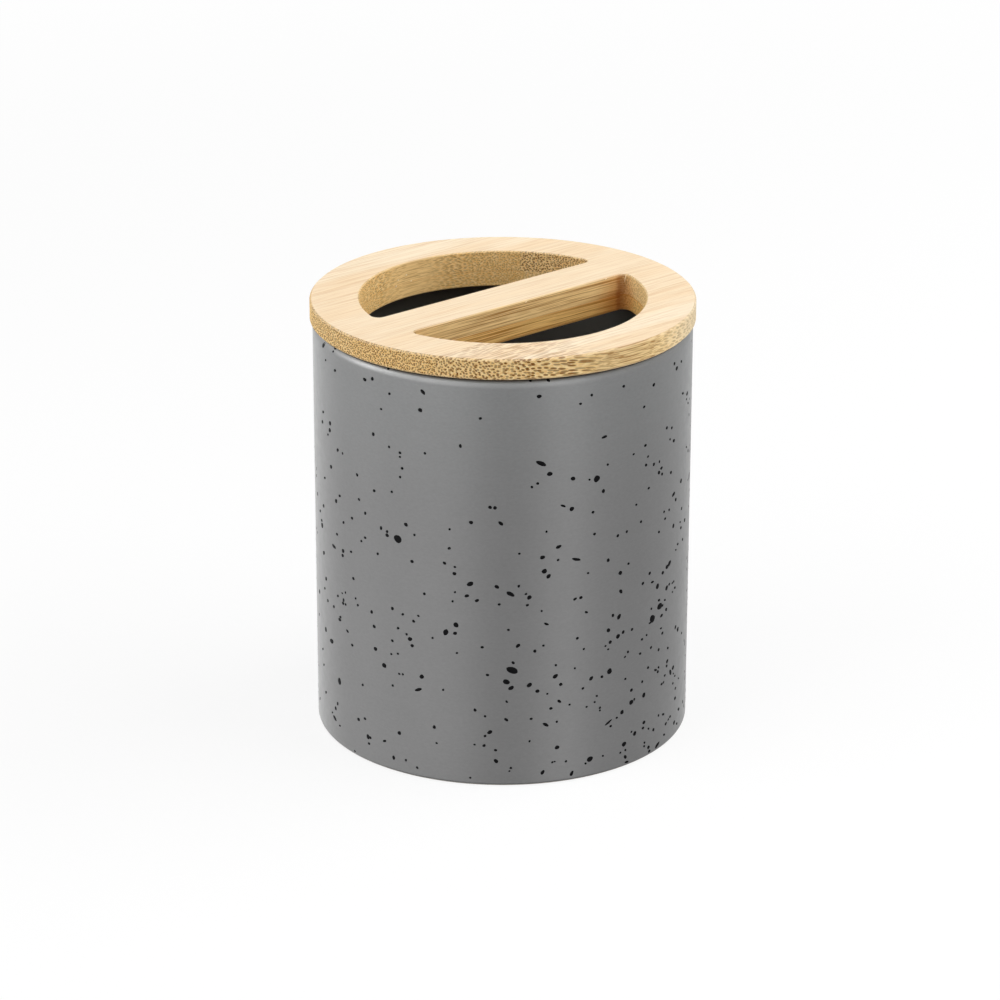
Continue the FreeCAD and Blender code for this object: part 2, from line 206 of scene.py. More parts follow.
# Each bamboo strip's own wood: spacing of its fibre bundles in millimetres, how dark they are, how much
# closer they crowd with each millimetre back, how far they climb along the grain, how far they fade and the
# end grain dulls towards the right, tone along the grain, warmth, and where in the culm it was cut
StripWood = namedtuple("StripWood", "pitch darkness crowding climb fade dulling tone warmth cut")
strip_woods = {
    "top_strip_front": StripWood(0.54, 1, 0.02, 0.12, 0.65, 0.24, 0.87, 0, 11),
    "top_strip_front_bar": StripWood(0.42, 1, 0, 0, 0.5, 0, 0.98, 0.2, 37),
    "top_strip_back_bar": StripWood(0.4, 1, 0, 0, 0, 0, 1.04, 0, 71),
    "top_strip_back": StripWood(0.34, 0.55, 0, 0, 0, 0, 1.03, 0.3, 103),
    "plug_strip_front": StripWood(0.5, 0.7, 0, 0, 0.5, 0, 1.1, 0.1, 149),
    "plug_strip_front_bar": StripWood(0.5, 0.95, 0, 0, 0.5, 0, 1, 0.75, 181),
    "plug_strip_back_bar": StripWood(0.4, 0.45, 0, 0, 0, 0, 1.15, 0, 211),
    "plug_strip_back": StripWood(0.34, 0.42, 0, 0, 0, 0, 1.06, 0.35, 257),
}

# Fibres that the cutter tore loose in the slot walls, in millimetres: both ends, width and lift
torn_fibres = (
    ((29.14, -6.26, 94.62), (28.98, -6.06, 92.95), 0.34, 0.16),
    ((-4.9, 29.78, 89.8), (-4.4, 29.86, 90.35), 0.34, 0.12),
    ((-1.75, 30.14, 91.85), (-1.25, 30.16, 92.0), 0.24, 0.1),
    ((-0.45, 30.18, 90.2), (0.1, 30.18, 90.32), 0.22, 0.1),
    ((-4.2, 29.89, 91.15), (-3.75, 29.95, 91.4), 0.24, 0.1),
    ((1.35, -5.5, 94.25), (2.0, -5.5, 94.36), 0.22, 0.1),
    ((6.15, -5.5, 94.48), (6.8, -5.5, 94.56), 0.2, 0.1),
    ((23.8, -5.5, 94.52), (24.45, -5.5, 94.6), 0.2, 0.1),
)


def shade(red, green, blue):
    """Linear colour of a screen colour given in levels from 0 to 255."""
    levels = (red / 255, green / 255, blue / 255)
    return tuple(c / 12.92 if c <= 0.04045 else ((c + 0.055) / 1.055) ** 2.4 for c in levels)


def length(name, description, default):
    """A size that a user can change, in metres."""
    return FloatProperty(name=name, description=description, default=default,
                         min=0, precision=5, unit="LENGTH")


def count(name, description, default, least=0):
    """A whole number that a user can change."""
    return IntProperty(name=name, description=description, default=default, min=least)


def share(name, description, default):
    """A share between none and all."""
    return FloatProperty(name=name, description=description, default=default, min=0, max=1, subtype="FACTOR")


def colour(name, description, default):
    """A colour that a user can change."""
    return FloatVectorProperty(name=name, description=description, default=default,
                               min=0, max=1, subtype="COLOR")


def brightness(name, description, default):
    """How bright a light is, where a white surface that it fills shows as 1."""
    return FloatProperty(name=name, description=description, default=default, min=0)


def angle(name, description, degrees):
    """A turn, given in degrees."""
    return FloatProperty(name=name, description=description, default=math.radians(degrees), subtype="ANGLE")


class TumblerSettings(bpy.types.PropertyGroup):
    """Wall, rounds and glazes of the tumbler."""
    wall: length("Wall", "Thickness of the wall", 4.2 * MM)
    floor: length("Floor", "Thickness of the floor above the foot's recess", 4.5 * MM)
    hollow_round: length("Hollow round", "Round where the hollow's wall meets its floor", 6 * MM)
    rim_outer_round: length("Outer rim round", "Round on the outside of the rim", 2.184 * MM)
    rim_inner_round: length("Inner rim round", "Round on the inside of the rim", 1.092 * MM)
    base_round: length("Base round", "Round where the wall meets the foot", 0.8 * MM)
    foot_land: length("Foot land", "Width of the ring that it stands on", 5 * MM)
    foot_recess: length("Foot recess", "Depth of the recess inside the foot ring", 1.2 * MM)
    foot_slope: length("Foot slope", "Width of the slope into the recess", 1 * MM)
    foot_inner_round: length("Foot inner round", "Round on the foot ring's inner edge", 0.3 * MM)
    recess_round: length("Recess round", "Round where the slope meets the recess", 0.6 * MM)
    # The dark inside glaze runs over the lip and laps down the outside of the rim; the lap paints the shadow
    # line in the crevice under the lid.
    rim_lap_shade: length("Rim lap", "How far down the outside of the rim the dark inside glaze laps", 0.6 * MM)
    glaze_line: length("Glaze line", "Height above which the wall is glazed", 0.35 * MM)
    segments: count("Segments", "Facets round the tumbler", 256, 32)
    arc_steps: count("Arc steps", "Facets in each round", 10, 2)
    longest_run: length("Longest run", "Longest facet along a straight stretch", 6 * MM)
    outside_roughness: share("Outside roughness", "How matt the outside glaze is", 0.36)
    inside_roughness: share("Inside roughness", "How matt the inside glaze is", 0.45)
    outside: colour("Outside glaze", "Satin grey glaze", shade(106, 106, 106))
    # Glaze towards the rim: its cool tint is the thin glaze's own, its extra lightness is painted highlight
    # on the upper wall and shoulder.
    outside_cool_and_lit: colour("Cool glaze", "Glaze where it runs thin under the rim", shade(113, 114, 114))
    inside: colour("Inside glaze", "Dark glaze of the hollow", shade(71, 70, 66))
    clay: colour("Clay", "Bare fired clay of the foot", shade(196, 188, 176))


class SpeckSettings(bpy.types.PropertyGroup):
    """Dark iron specks that burn through the glaze."""
    lift: length("Lift", "How far a speck's middle stands proud of the glaze", 0.014 * MM)
    sink: length("Sink", "How far a speck's edge lies under the glaze", 0.012 * MM)
    root: length("Root", "How far a speck's root lies under the glaze", 0.036 * MM)
    shoulder_share: share("Shoulder share", "Height of a speck's shoulder, as a share of its lift", 0.8)
    corners: count("Corners", "Corners round one speck", 14, 6)
    crown_share: share("Crown share", "Flat middle of a speck, as a share of its size", 0.88)
    bleed: length("Bleed", "How far the iron has spread past a speck's core, across both sides", 0.1 * MM)
    unevenness: share("Unevenness", "How far a speck's outline strays from an ellipse", 0.07)
    waves: count("Waves", "Waves in a speck's uneven outline", 3, 1)
    hidden_count: count("Hidden specks", "Specks on the far side", 500)
    spacing: length("Spacing", "Least distance between the middles of two specks", 1.2 * MM)
    margin: length("Margin", "Bare height at the foot and under the rim", 2.4 * MM)
    seen_reach: length("Seen reach", "Half width of the side whose specks are placed by hand", 54 * MM)
    seed: count("Seed", "Starts the scatter on the far side", 7)
    iron: colour("Iron", "Black iron of the specks", shade(9, 9, 10))


class BambooSettings(bpy.types.PropertyGroup):
    """Wood of the lid's strips."""
    cream: colour("Cream", "Sanded face of the lid", shade(252, 236, 209))
    blush: colour("Blush", "Warmer bands in the sanded face", shade(248, 224, 190))
    face_line: colour("Face line", "Fibre lines in the sanded face", shade(216, 172, 120))
    side_pale: colour("Side", "Wood cut along the grain, on the edges and slot walls", shade(248, 218, 160))
    side_deep: colour("Side line", "Fibre lines in the edges and slot walls", shade(166, 112, 50))
    end_pale: colour("End grain", "Wood cut across the grain", shade(253, 226, 170))
    end_gold: colour("End grain gold", "Warmer patches of the end grain", shade(233, 193, 126))
    bundle: colour("Bundle", "Fibre bundles that show as dots in the end grain", shade(120, 72, 20))
    amber: colour("Amber", "Tint of the warmer strips", shade(250, 230, 182))
    scorch: colour("Scorch", "Burn that the cutter left in one corner", shade(204, 130, 56))
    char: colour("Char", "Darkest part of the burn", shade(140, 68, 20))
    scorch_place: FloatVectorProperty(name="Scorch place", description="Middle of the burn in a slot corner",
                                      default=(28.2 * MM, -5.6 * MM, 88.5 * MM), unit="LENGTH")
    scorch_reach: length("Scorch reach", "How far the burn spreads", 7 * MM)
    char_reach: length("Char reach", "How far the darkest part spreads", 1.5 * MM)


class SealSettings(bpy.types.PropertyGroup):
    """Soft ring round the plug."""
    band: length("Band", "How far the ring's band lies inside its fins' tips", 0.95 * MM)
    thickness: length("Thickness", "From the ring's inside to its fins' tips", 2.35 * MM)
    fins: count("Fins", "Fins round the ring", 2, 1)
    root_share: share("Fin root", "Height of a fin's root, as a share of the fins' spacing", 0.6)
    tip_share: share("Fin tip", "Height of a fin's tip, as a share of the fins' spacing", 0.3)
    rise_share: share("Fin rise", "How far a fin sweeps up, as a share of the fins' spacing", 0.25)
    soft_round: length("Soft round", "Round on the fins' tips and roots", 0.07 * MM)
    segments: count("Segments", "Facets round the ring", 192, 32)
    milky: colour("Silicone", "Milky silicone", shade(214, 214, 209))


class StageSettings(bpy.types.PropertyGroup):
    """Camera, floor and soft light."""
    camera_reach: length("Camera reach", "Level distance from the tumbler's axis to the camera", 793.3 * MM)
    camera_height: length("Camera height", "Height of the camera above the floor", 361.1 * MM)
    camera_side: angle("Camera side", "Turn of the camera about the tumbler, from the front", -40.6)
    camera_yaw: angle("Camera yaw", "Turn of the view away from the tumbler's axis", 0.037)
    camera_tilt: angle("Camera tilt", "How far the view points down", 21.502)
    camera_roll: angle("Camera roll", "Turn of the view about its own line", 0.123)
    focal_length: FloatProperty(name="Focal length", description="Lens, in millimetres", default=143.47)
    sensor_width: FloatProperty(name="Sensor width", description="Sensor, in millimetres", default=36)
    floor_size: length("Floor size", "Width of the floor", 6.0)
    floor_shown: colour("Floor", "Floor as the camera sees it", shade(255, 255, 255))
    floor_bounce: colour("Floor bounce", "Floor as it lights the holder", shade(196, 196, 196))
    shadow_near: length("Shadow near", "Distance at which the holder's shadow starts to fade", 250 * MM)
    shadow_far: length("Shadow far", "Distance past which no shadow shows", 800 * MM)
    shadow_share: share("Shadow share", "How far the holder's shadow shows on the floor", 0.18)
    ambient: brightness("Ambient", "Light from all round", 0.43)
    overhead: brightness("Overhead", "Brightness of the panel above", 0.21)
    left_light: brightness("Left light", "Brightness of the left panel", 1.38)
    right_light: brightness("Right light", "Brightness of the right panel", 1.85)
    left_turn: angle("Left turn", "Turn of the left panel from the camera", -60)
    right_turn: angle("Right turn", "Turn of the right panel from the camera", 90)
    panel_reach: length("Panel reach", "Level distance of the side panels", 0.77)
    panel_height: length("Panel height", "Height of the side panels", 0.55)
    panel_upright: length("Panel upright", "Upright size of the side panels", 0.8)
    left_width: length("Left width", "Width of the left panel", 0.8)
    right_width: length("Right width", "Width of the right panel", 1.2)
    overhead_height: length("Overhead height", "Height of the panel above", 1.25)
    overhead_width: length("Overhead width", "Width of the panel above", 1.3)


def feed(tree, node, inputs):
    """Set each input of a node to a value, or join it to a socket."""
    for key, value in inputs.items():
        if isinstance(value, bpy.types.NodeSocket):
            tree.links.new(value, node.inputs[key])
        else:
            node.inputs[key].default_value = value


def add_node(tree, kind, inputs, **settings):
    """Add a shader node and feed its inputs."""
    node = tree.nodes.new("ShaderNode" + kind)
    for name, value in settings.items():
        setattr(node, name, value)
    feed(tree, node, inputs)
    return node


def outcome(tree, kind, inputs, **settings):
    """Main output of an added shader node."""
    return add_node(tree, kind, inputs, **settings).outputs[0]


# Sockets of the node that mixes: its two colours, the mixed colour, and its two numbers
COLOUR_A, COLOUR_B, MIXED_COLOUR = 6, 7, 2
NUMBER_A, NUMBER_B = 2, 3


def opaque(rgb):
    """A colour with its alpha, as a socket takes it."""
    return (*rgb, 1.0)


def blend(tree, amount, first, second, how="MIX"):
    """Mix two colours, each a colour or a socket."""
    sockets = {0: amount}
    for socket, given in ((COLOUR_A, first), (COLOUR_B, second)):
        sockets[socket] = given if isinstance(given, bpy.types.NodeSocket) else opaque(given)
    return add_node(tree, "Mix", sockets, data_type="RGBA", blend_type=how).outputs[MIXED_COLOUR]


def between(tree, amount, first, second):
    """Mix two numbers."""
    return outcome(tree, "Mix", {0: amount, NUMBER_A: first, NUMBER_B: second}, data_type="FLOAT")


def toned(tree, given, value, saturation=1.0):
    """A colour made lighter or darker, and duller."""
    return outcome(tree, "HueSaturation", {"Color": given, "Value": value, "Saturation": saturation})


def sums(tree, operation, first, second=0.0):
    """One step of arithmetic."""
    return outcome(tree, "Math", {0: first, 1: second}, operation=operation)


def ease(tree, value, low, high, start=0.0, end=1.0):
    """Smooth step of a value between two levels."""
    limits = {"Value": value, "From Min": low, "From Max": high, "To Min": start, "To Max": end}
    return outcome(tree, "MapRange", limits, interpolation_type="SMOOTHSTEP")


def vectors(tree, operation, first, second):
    """One step of arithmetic on places."""
    return outcome(tree, "VectorMath", {0: first, 1: second}, operation=operation)


def stretched(tree, place, x, y, z):
    """A place with its axes stretched, so that a pattern on it is drawn out."""
    return vectors(tree, "MULTIPLY", place, (x, y, z))


def distance(tree, place):
    """How far a place lies from the origin."""
    return add_node(tree, "VectorMath", {0: place}, operation="LENGTH").outputs["Value"]


def cloud(tree, place, scale, detail, roughness=0.5):
    """Soft noise."""
    return outcome(tree, "TexNoise",
                   {"Vector": place, "Scale": scale, "Detail": detail, "Roughness": roughness})


def new_finish(name):
    """A material with its nodes, its shader, the place in millimetres for its patterns, and its normal."""
    material = bpy.data.materials.new(name)
    material.use_nodes = True
    tree = material.node_tree
    tree.nodes.clear()
    shader = add_node(tree, "BsdfPrincipled", {})
    add_node(tree, "OutputMaterial", {"Surface": shader.outputs[0]})
    coordinates = add_node(tree, "TexCoord", {})
    metres = coordinates.outputs["Object"]
    place = outcome(tree, "VectorMath", {0: metres, "Scale": 1 / MM}, operation="SCALE")
    return material, tree, shader, place, coordinates.outputs["Normal"]


def roughen(tree, shader, height, depth, strength):
    """Give a shader a bump from a height pattern, at a depth in metres."""
    bump = outcome(tree, "Bump", {"Height": height, "Distance": depth, "Strength": strength})
    feed(tree, shader, {"Normal": bump})


def glaze_finish(name, base, rim_cool_and_lit, roughness):
    """Satin glaze with faint clouds, streaks and mottling, cooler towards the rim where it thins, and
    lighter there as painted highlight.
    """
    material, tree, shader, place, _ = new_finish(name)
    level = add_node(tree, "SeparateXYZ", {0: place}).outputs["Z"]
    rim = cup_height / MM
    # Towards the rim the glaze turns a cooler tone, which is its own, and lighter, which is painted
    # highlight on the upper wall and shoulder.
    tint = blend(tree, ease(tree, level, 0.6 * rim, rim), base, rim_cool_and_lit)
    clouds = cloud(tree, place, scale=0.09, detail=3)
    streaks = cloud(tree, stretched(tree, place, 0.06, 0.06, 0.9), scale=1, detail=3)
    mottle = cloud(tree, stretched(tree, place, 1, 1, 2), scale=1.1, detail=3, roughness=0.7)
    lightness = 0.77
    for pattern, amount in ((clouds, 0.1), (streaks, 0.06), (mottle, 0.3)):
        lightness = sums(tree, "ADD", sums(tree, "MULTIPLY", pattern, amount), lightness)
    sheen = cloud(tree, place, scale=0.5, detail=2)
    gloss = ease(tree, sheen, 0.2, 0.8, roughness - 0.03, roughness + 0.04)
    feed(tree, shader, {"Base Color": toned(tree, tint, lightness), "Roughness": gloss, "IOR": 1.52})
    roughen(tree, shader, cloud(tree, place, scale=0.7, detail=2), depth=0.03 * MM, strength=0.12)
    return material


def clay_finish(name, clay):
    """Bare fired clay, matt and finely pitted."""
    material, tree, shader, place, _ = new_finish(name)
    grain = cloud(tree, place, scale=6, detail=4, roughness=0.7)
    pale = [min(1.0, level * 1.12) for level in clay]
    dull = [level * 0.8 for level in clay]
    tint = blend(tree, ease(tree, grain, 0.3, 0.7), dull, pale)
    feed(tree, shader, {"Base Color": tint, "Roughness": 0.9})
    roughen(tree, shader, grain, depth=0.06 * MM, strength=0.6)
    return material


def iron_finish(name, iron):
    """Iron that has burnt through the glaze, with hardly any gloss."""
    material, tree, shader, place, _ = new_finish(name)
    pale = [level * 1.9 for level in iron]
    patches = ease(tree, cloud(tree, place, scale=1.6, detail=2), 0.4, 0.75)
    tint = blend(tree, patches, iron, pale)
    feed(tree, shader, {"Base Color": tint, "Roughness": 0.5, "Specular IOR Level": 0.03})
    return material


def silicone_finish(name, milky):
    """Milky silicone with a faint bloom."""
    material, tree, shader, place, _ = new_finish(name)
    dull = [level * 0.88 for level in milky]
    bloom = cloud(tree, place, scale=0.35, detail=3)
    feed(tree, shader, {
        "Base Color": blend(tree, ease(tree, bloom, 0.35, 0.7), dull, milky),
        "Roughness": ease(tree, bloom, 0.3, 0.7, 0.38, 0.52),
        "Subsurface Weight": 0.25,
        "Subsurface Radius": (1, 0.9, 0.8),
        "Subsurface Scale": 1 * MM,
    })
    roughen(tree, shader, cloud(tree, place, scale=3, detail=2), depth=0.02 * MM, strength=0.3)
    return material


# How far to each side of the lid's middle a strip's wood changes along the grain, in millimetres
grain_reach = 0.7 * cup_radius / MM


def crowded(tree, place, crowding, middle):
    """A place squeezed across the grain, so that patterns on it crowd together towards the back."""
    axes = add_node(tree, "SeparateXYZ", {0: place})
    across = axes.outputs["Y"]
    growth = sums(tree, "ADD", sums(tree, "MULTIPLY", across, crowding), 1 - 2 * crowding * middle)
    squeezed = sums(tree, "MULTIPLY", across, growth)
    return outcome(tree, "CombineXYZ", {0: axes.outputs["X"], 1: squeezed, 2: axes.outputs["Z"]})


def wandering(tree, place):
    """A place in wood whose fibres run along X and stray a little from it."""
    drift = add_node(tree, "TexNoise", {"Vector": stretched(tree, place, 0.05, 0.08, 0.08), "Scale": 1})
    return vectors(tree, "ADD", place, stretched(tree, drift.outputs["Color"], 0, 2.2, 2.2))


def fibre_bundles(tree, fibre, strip):
    """How far a place lies in a dark fibre bundle: dots across the grain, lines along it."""
    axes = add_node(tree, "SeparateXYZ", {0: fibre})
    level = sums(tree, "ADD", axes.outputs["Z"], sums(tree, "MULTIPLY", axes.outputs["X"], strip.climb))
    across = outcome(tree, "CombineXYZ", {0: axes.outputs["Y"], 1: level})
    cells = add_node(tree, "TexVoronoi", {"Vector": across, "Scale": 1 / strip.pitch, "Randomness": 0.9},
                     voronoi_dimensions="2D")
    weight = outcome(tree, "SeparateColor", {0: cells.outputs["Color"]})
    weight = ease(tree, weight, 0, 1, 0.6 * strip.darkness, strip.darkness)
    return sums(tree, "MULTIPLY", ease(tree, cells.outputs["Distance"], 0.47, 0.29), weight)


def strip_marks(tree, place, strip, middle):
    """Marks in one strip's wood: dots of bundles, fine fibres, lines, streaks and bands."""
    grain = crowded(tree, place, strip.crowding, middle)
    grain = vectors(tree, "ADD", grain, (strip.cut, strip.cut, strip.cut))
    fibre = wandering(tree, grain)
    return SimpleNamespace(
        dots=fibre_bundles(tree, fibre, strip),
        fine=cloud(tree, stretched(tree, fibre, 0.1, 1, 1), scale=3, detail=3, roughness=0.65),
        lines=cloud(tree, stretched(tree, grain, 0.02, 1, 1), scale=2.8, detail=3, roughness=0.6),
        streaks=cloud(tree, stretched(tree, grain, 0.009, 1, 1), scale=4.6, detail=2, roughness=0.55),
        bands=cloud(tree, stretched(tree, grain, 0.01, 0.16, 0.16), scale=1, detail=2),
    )


def sanded_face(tree, marks, strip, along, least_blush, wood):
    """Face of the lid: cream, with warmer bands, fibre lines and flecks."""
    face = blend(tree, ease(tree, marks.bands, 0.35, 0.65, least_blush, 1), wood.cream, wood.blush)
    face = blend(tree, ease(tree, marks.lines, 0.44, 0.68, 0, 0.5), face, wood.face_line)
    flecks = ease(tree, along, -0.1 * grain_reach, -0.6 * grain_reach, 0.06, 0.06 + 4 * strip.climb)
    return blend(tree, sums(tree, "MULTIPLY", marks.dots, flecks), face, wood.side_deep)


def long_grain(tree, marks, strip, wood):
    """Wood cut along the grain, with dark streaks and faint bundles."""
    streaks = ease(tree, marks.streaks, 0.46, 0.64, 0, 0.9 * strip.darkness)
    side = blend(tree, streaks, wood.side_pale, wood.side_deep)
    side = blend(tree, sums(tree, "MULTIPLY", marks.dots, 0.3), side, wood.side_deep)
    return toned(tree, side, strip.tone)


def end_grain(tree, marks, strip, place, along, wood):
    """Wood cut across the grain, with gold patches and dark dots, dulled at the right of the outer edge."""
    ripeness = ease(tree, along, -grain_reach, grain_reach, 1, 1 - strip.fade)
    gold = sums(tree, "MULTIPLY", ease(tree, marks.fine, 0.36, 0.62), ripeness)
    ends = blend(tree, gold, wood.end_pale, wood.end_gold)
    ends = blend(tree, sums(tree, "MULTIPLY", marks.dots, ripeness), ends, wood.bundle)
    out = distance(tree, stretched(tree, place, 1, 1, 0))
    outer_edge = ease(tree, out, 1.15 * grain_reach, 1.3 * grain_reach)
    dulled = sums(tree, "MULTIPLY", ease(tree, along, 0, grain_reach, 0, strip.dulling), outer_edge)
    bright = sums(tree, "SUBTRACT", 1, dulled)
    return toned(tree, ends, bright, bright)


def scorched(tree, grown, place, wood):
    """Wood with the burn that the cutter left in one slot corner, darkest in the corner itself."""
    offset = vectors(tree, "SUBTRACT", place, [level / MM for level in wood.scorch_place])
    ragged = cloud(tree, stretched(tree, place, 0.6, 1, 1), scale=1.6, detail=4, roughness=0.65)
    ragged = sums(tree, "SUBTRACT", ragged, 0.5)
    for reach, spread, ways, amount, burn in (
        (wood.scorch_reach / MM, 4, (1, 1.6, 0.8), 0.45, wood.scorch),
        (wood.char_reach / MM, 2.6, (1, 1, 0.12), 0.5, wood.char),
    ):
        far = distance(tree, stretched(tree, offset, *ways))
        far = sums(tree, "ADD", far, sums(tree, "MULTIPLY", ragged, spread))
        grown = blend(tree, ease(tree, far, 1.15 * reach, 0.3 * reach, 0, amount), grown, burn)
    return grown


def bamboo_finish(node_name, wood):
    """Bamboo of one strip, by which way each surface is cut, with its glue line and its burn."""
    strip = strip_woods[node_name]
    low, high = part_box(node_name)
    material, tree, shader, place, normal = new_finish("bamboo_" + node_name)
    axes = add_node(tree, "SeparateXYZ", {0: place})
    along = axes.outputs["X"]
    facing = add_node(tree, "SeparateXYZ", {0: normal})
    end_share = ease(tree, sums(tree, "ABSOLUTE", facing.outputs["X"]), 0.08, 0.36)
    face_share = ease(tree, sums(tree, "ABSOLUTE", facing.outputs["Z"]), 0.6, 0.9)
    marks = strip_marks(tree, place, strip, (low.y + high.y) / 2 / MM)
    ends = end_grain(tree, marks, strip, place, along, wood)
    grown = blend(tree, end_share, long_grain(tree, marks, strip, wood), ends)
    grown = blend(tree, strip.warmth, grown, wood.amber, "MULTIPLY")
    if node_name.startswith("plug"):
        seam = cup_height / MM
        glue = ease(tree, axes.outputs["Z"], seam - 0.4, seam - 0.05, 0, 0.6 * strip.warmth)
        grown = blend(tree, glue, grown, wood.scorch)
    if node_name.endswith("front_bar"):
        grown = scorched(tree, grown, place, wood)
    grown = toned(tree, grown, ease(tree, marks.fine, 0.2, 0.8, 0.95, 1.05))
    least_blush = 0.5 if node_name.endswith("bar") else 0.0
    face = sanded_face(tree, marks, strip, along, least_blush, wood)
    feed(tree, shader, {
        "Base Color": blend(tree, face_share, grown, face),
        "Roughness": ease(tree, marks.fine, 0.3, 0.7, 0.78, 0.92),
        "Specular IOR Level": 0.2,
    })
    roughen(tree, shader, sums(tree, "ADD", marks.lines, marks.fine), depth=0.012 * MM, strength=0.4)
    return material


def torn_finish(name, wood):
    """Pale inside of a torn fibre."""
    material, tree, shader, place, _ = new_finish(name)
    strands = cloud(tree, stretched(tree, place, 0.4, 1, 0.4), scale=6, detail=2)
    tint = blend(tree, ease(tree, strands, 0.35, 0.7), wood.cream, wood.side_pale)
    feed(tree, shader, {"Base Color": tint, "Roughness": 0.6})
    return material


def new_piece(name, mesh, materials):
    """A smooth-shaded object made from a finished mesh."""
    data = bpy.data.meshes.new(name)
    mesh.to_mesh(data)
    mesh.free()
    for polygon in data.polygons:
        polygon.use_smooth = True
    for material in materials:
        data.materials.append(material)
    piece = bpy.data.objects.new(name, data)
    bpy.context.scene.collection.objects.link(piece)
    return piece


def rounded_outline(corners, arc_steps):
    """Points of an outline given as (radius, height, round) corners, with each rounded corner as an arc."""
    points = []
    for index, (radius, height, corner_round) in enumerate(corners):
        corner = Vector((radius, height))
        if not corner_round:
            points.append(corner)
            continue
        back = (Vector(corners[index - 1][:2]) - corner).normalized()
        ahead = (Vector(corners[(index + 1) % len(corners)][:2]) - corner).normalized()
        half_angle = back.angle(ahead) / 2
        centre = corner + (back + ahead).normalized() * (corner_round / math.sin(half_angle))
        spoke = corner + back * (corner_round / math.tan(half_angle)) - centre
        sweep = math.copysign(math.pi - 2 * half_angle, spoke.y * back.x - spoke.x * back.y)
        for step in range(arc_steps + 1):
            turn = sweep * step / arc_steps
            x = spoke.x * math.cos(turn) - spoke.y * math.sin(turn)
            y = spoke.x * math.sin(turn) + spoke.y * math.cos(turn)
            points.append(centre + Vector((x, y)))
    return points


def divided(points, longest):
    """An outline with its long straight runs divided evenly."""
    result = []
    for start, end in zip(points, points[1:]):
        steps = max(1, math.ceil((end - start).length / longest))
        result += [start.lerp(end, step / steps) for step in range(steps)]
    return result + [points[-1]]


def turned_mesh(points, segments):
    """Surface turned about the upright axis from an outline of (radius, height) points."""
    mesh = bmesh.new()
    rings = []
    for radius, height in points:
        if radius < TINY:
            rings.append([mesh.verts.new((0, 0, height))] * segments)
            continue
        turns = [2 * math.pi * step / segments for step in range(segments)]
        rings.append([mesh.verts.new((radius * math.cos(t), radius * math.sin(t), height)) for t in turns])
    for ring, following in zip(rings, rings[1:]):
        for step in range(segments):
            after = (step + 1) % segments
            corners = (ring[step], ring[after], following[after], following[step])
            mesh.faces.new(list(dict.fromkeys(corners)))
    bmesh.ops.recalc_face_normals(mesh, faces=mesh.faces)
    return mesh


# Places of the tumbler's other finishes after its outside glaze
INSIDE_GLAZE = 1
BARE_CLAY = 2


class HOLDER_OT_tumbler(bpy.types.Operator):
    """Turn the tumbler, glazed outside and in, with a bare foot"""
    bl_idname = "holder.tumbler"
    bl_label = "Tumbler"

    def execute(self, context):
        cup = context.scene.holder_tumbler
        mouth = cup_radius - cup.wall
        hollow_floor = cup.foot_recess + cup.floor
        foot_inner = cup_radius - cup.foot_land
        points = rounded_outline([
            (0, cup.foot_recess, 0),
            (foot_inner - cup.foot_slope, cup.foot_recess, cup.recess_round),
            (foot_inner, 0, cup.foot_inner_round),
            (cup_radius, 0, cup.base_round),
            (cup_radius, cup_height, cup.rim_outer_round),
            (mouth, cup_height, cup.rim_inner_round),
            (mouth, hollow_floor, cup.hollow_round),
            (0, hollow_floor, 0),
        ], cup.arc_steps)
        mesh = turned_mesh(divided(points, cup.longest_run), cup.segments)
        for face in mesh.faces:
            middle = face.calc_center_median()
            reach = math.hypot(middle.x, middle.y)
            in_hollow = middle.z > hollow_floor / 2 and reach < mouth + cup.rim_inner_round / 4
            # The lap of dark glaze on the outside of the rim is painted shade for the crevice under the lid.
            if in_hollow or middle.z > cup_height - cup.rim_lap_shade:
                face.material_index = INSIDE_GLAZE
            elif middle.z < cup.glaze_line or reach < foot_inner:
                face.material_index = BARE_CLAY
        finishes = [
            glaze_finish("satin_grey_glaze", cup.outside, cup.outside_cool_and_lit, cup.outside_roughness),
            glaze_finish("dark_inside_glaze", cup.inside, cup.inside, cup.inside_roughness),
            clay_finish("bare_clay", cup.clay),
        ]
        piece = new_piece("glazed_tumbler", mesh, finishes)
        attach(piece, "cup")
        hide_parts("tumbler")
        return {"FINISHED"}


def add_speck(mesh, speck, iron, chance):
    """One speck on the wall: a thin closed lens with a slightly uneven outline."""
    along, height, long, wide, lean = speck
    phases = [chance.uniform(0, 2 * math.pi) for _ in range(iron.waves)]
    crown, edge = [], []
    for step in range(iron.corners):
        turn = 2 * math.pi * step / iron.corners
        waves = [math.sin((wave + 2) * turn + phase) / (wave + 1) for wave, phase in enumerate(phases)]
        swell = 1 + iron.unevenness * sum(waves)
        x, y = long / 2 * swell * math.cos(turn), wide / 2 * swell * math.sin(turn)
        right = x * math.cos(lean) - y * math.sin(lean)
        up = x * math.sin(lean) + y * math.cos(lean)
        inner_right, inner_up = right * iron.crown_share, up * iron.crown_share
        crown.append(on_wall(along + inner_right, height + inner_up, iron.lift * iron.shoulder_share))
        edge.append(on_wall(along + right, height + up, -iron.sink))
    crown = [mesh.verts.new(point) for point in crown]
    edge = [mesh.verts.new(point) for point in edge]
    top = mesh.verts.new(on_wall(along, height, iron.lift))
    root = mesh.verts.new(on_wall(along, height, -iron.root))
    for step in range(iron.corners):
        after = (step + 1) % iron.corners
        mesh.faces.new((top, crown[step], crown[after]))
        mesh.faces.new((crown[step], edge[step], edge[after], crown[after]))
        mesh.faces.new((root, edge[after], edge[step]))


